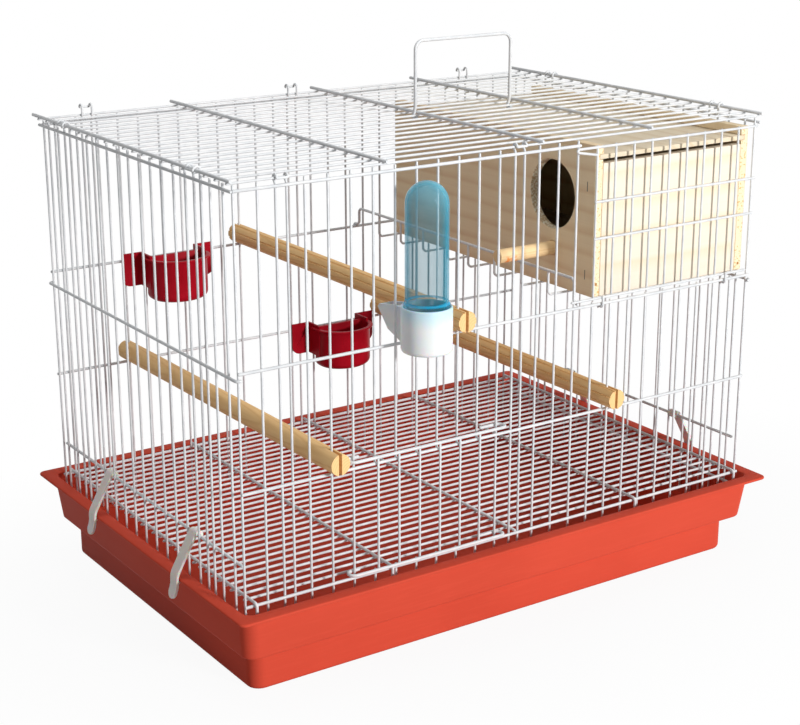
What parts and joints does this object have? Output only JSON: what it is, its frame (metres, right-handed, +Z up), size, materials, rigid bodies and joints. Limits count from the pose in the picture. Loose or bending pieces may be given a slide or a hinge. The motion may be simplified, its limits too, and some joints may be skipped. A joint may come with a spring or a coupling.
{
  "type": "bird breeding cage",
  "caption": "Wire bird breeding cage on a moulded tray, with a wooden nest box, dowel perches, hook-on feeder cups, a tube drinker, a sliding door and a carry handle.",
  "frame": {"origin": "middle of the tray's flat underside", "axes": "+X to the nest box side (right when seen from the front), +Y from the front to the back, +Z up"},
  "size_m": [0.5682, 0.4109, 0.4755],
  "materials": {
    "tray_plastic": "glossy orange-red moulded plastic",
    "coated_wire": "white coated steel wire, satin",
    "dowel_wood": "bare turned dowel",
    "nest_wood": "bare planed pine board",
    "cup_plastic": "crimson moulded plastic",
    "tube_plastic": "clear light blue plastic",
    "milky_plastic": "milky white plastic",
    "clip_plastic": "off-white plastic"
  },
  "bodies": {
    "cage": {"tray": "tray_plastic", "floor_grate": "coated_wire", "front_panel": "coated_wire", "back_panel": "coated_wire", "left_panel": "coated_wire", "right_panel": "coated_wire", "roof_panel": "coated_wire", "nest_rack": "coated_wire", "perch_upper": "dowel_wood", "perch_lower_left": "dowel_wood", "perch_lower_right": "dowel_wood", "drinker_base": "milky_plastic", "nest_left_side": "nest_wood", "nest_right_side": "nest_wood", "nest_front_board": "nest_wood", "nest_back_board": "nest_wood", "nest_floor": "nest_wood", "nest_peg": "dowel_wood"},
    "front_door": {"front_door": "coated_wire"},
    "nest_door": {"nest_door": "coated_wire"},
    "carry_handle": {"carry_handle": "coated_wire"},
    "nest_lid": {"nest_lid": "nest_wood"},
    "feeder_cup_upper": {"feeder_cup_upper": "cup_plastic"},
    "feeder_cup_lower": {"feeder_cup_lower": "cup_plastic"},
    "drinker_tube": {"drinker_tube": "tube_plastic"},
    "tray_clip_left_front": {"tray_clip_left_front": "clip_plastic"},
    "tray_clip_left_rear": {"tray_clip_left_rear": "clip_plastic"},
    "tray_clip_right_front": {"tray_clip_right_front": "clip_plastic"},
    "tray_clip_right_rear": {"tray_clip_right_rear": "clip_plastic"}
  },
  "joints": [
    {"name": "front_door_slide", "type": "slide", "parent": "cage", "child": "front_door", "axis": [0, 0, 1], "range_m": [0, 0.078]},
    {"name": "nest_door_hinge", "type": "hinge", "parent": "cage", "child": "nest_door", "pos_m": [0, -0.17255, 0.266], "axis": [1, 0, 0], "range_deg": [0, 160]},
    {"name": "carry_handle_hinge", "type": "hinge", "parent": "cage", "child": "carry_handle", "pos_m": [0.068, 0, 0.409], "axis": [1, 0, 0], "range_deg": [-75, 75]},
    {"name": "nest_lid_slide", "type": "slide", "parent": "cage", "child": "nest_lid", "axis": [0, 1, 0], "range_m": [0, 0.034]},
    {"name": "feeder_cup_upper_lift", "type": "slide", "parent": "cage", "child": "feeder_cup_upper", "axis": [0, 0, 1], "range_m": [0, 0.008]},
    {"name": "feeder_cup_lower_lift", "type": "slide", "parent": "cage", "child": "feeder_cup_lower", "axis": [0, 0, 1], "range_m": [0, 0.008]},
    {"name": "drinker_tube_lift", "type": "slide", "parent": "cage", "child": "drinker_tube", "axis": [0, 0, 1], "range_m": [0, 0.02]},
    {"name": "tray_clip_left_front_hinge", "type": "hinge", "parent": "cage", "child": "tray_clip_left_front", "pos_m": [-0.25885, -0.08859, 0.1094], "axis": [0, 1, 0], "range_deg": [0, 110]},
    {"name": "tray_clip_left_rear_hinge", "type": "hinge", "parent": "cage", "child": "tray_clip_left_rear", "pos_m": [-0.25885, 0.06891, 0.1094], "axis": [0, 1, 0], "range_deg": [0, 110]},
    {"name": "tray_clip_right_front_hinge", "type": "hinge", "parent": "cage", "child": "tray_clip_right_front", "pos_m": [0.25885, -0.08859, 0.1094], "axis": [0, -1, 0], "range_deg": [0, 110]},
    {"name": "tray_clip_right_rear_hinge", "type": "hinge", "parent": "cage", "child": "tray_clip_right_rear", "pos_m": [0.25885, 0.06891, 0.1094], "axis": [0, -1, 0], "range_deg": [0, 110]}
  ]
}
